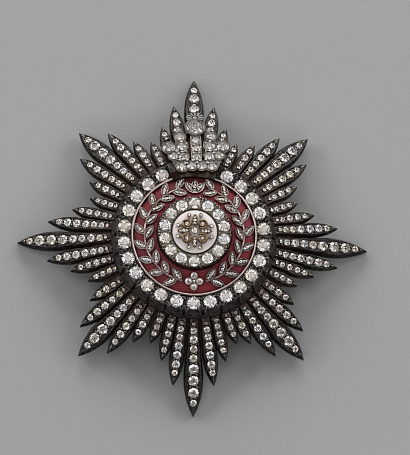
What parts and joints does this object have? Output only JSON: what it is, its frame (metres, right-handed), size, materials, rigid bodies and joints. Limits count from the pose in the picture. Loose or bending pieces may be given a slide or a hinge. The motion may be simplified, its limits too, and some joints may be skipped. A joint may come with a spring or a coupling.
{
  "type": "order insignia, breast star",
  "caption": "Eight-pointed breast star of leaf-shaped rays set with cut stones, crimson enamel band with a wreath, white enamel centre, raised crown and a brooch pin.",
  "frame": {"origin": "centre of the star, on the plane on which its longest ray tips rest", "axes": "+Z out of the face, +Y towards the crown, +X to the wearer's left, which is the right of the face as seen"},
  "size_m": [0.09, 0.09, 0.0168],
  "materials": {
    "oxidised_silver": "blackened silver, satin, worn lighter on its edges",
    "worn_silver": "greyed silver, satin, darker in its recesses",
    "stone": "clear faceted old-cut stone, a few slightly yellow",
    "red_enamel": "translucent crimson enamel over engraved lines, glossy",
    "white_enamel": "opaque white enamel, glossy",
    "rose_gold": "pale rose gold, polished",
    "antique_gold": "dull antique gold",
    "pin_metal": "plain drawn silver wire and blocks"
  },
  "bodies": {
    "root": {"back_plate": "oxidised_silver", "rays_e": "oxidised_silver", "rays_ne": "oxidised_silver", "rays_n": "oxidised_silver", "rays_nw": "oxidised_silver", "rays_w": "oxidised_silver", "rays_sw": "oxidised_silver", "rays_s": "oxidised_silver", "rays_se": "oxidised_silver", "ray_stones_cardinal": "stone", "ray_stones_diagonal": "stone", "outer_gallery": "oxidised_silver", "outer_stone_01": "stone", "outer_stone_02": "stone", "outer_stone_03": "stone", "outer_stone_04": "stone", "outer_stone_05": "stone", "outer_stone_06": "stone", "outer_stone_07": "stone", "outer_stone_08": "stone", "outer_stone_09": "stone", "outer_stone_10": "stone", "outer_stone_11": "stone", "outer_stone_12": "stone", "outer_stone_13": "stone", "outer_stone_14": "stone", "outer_stone_15": "stone", "outer_stone_16": "stone", "outer_stone_17": "stone", "outer_stone_18": "stone", "outer_stone_19": "stone", "outer_stone_20": "stone", "outer_stone_21": "stone", "outer_stone_22": "stone", "outer_stone_23": "stone", "band_enamel": "red_enamel", "band_rim": "rose_gold", "band_ornament": "worn_silver", "rosette_stones": "stone", "inner_gallery": "worn_silver", "inner_stone_01": "stone", "inner_stone_02": "stone", "inner_stone_03": "stone", "inner_stone_04": "stone", "inner_stone_05": "stone", "inner_stone_06": "stone", "inner_stone_07": "stone", "inner_stone_08": "stone", "inner_stone_09": "stone", "inner_stone_10": "stone", "inner_stone_11": "stone", "inner_stone_12": "stone", "inner_stone_13": "stone", "inner_stone_14": "stone", "centre_enamel": "white_enamel", "centre_ornament": "antique_gold", "crown": "worn_silver", "crown_stones": "stone", "crown_top_stone": "stone", "brooch_pin": "pin_metal"}
  },
  "joints": []
}
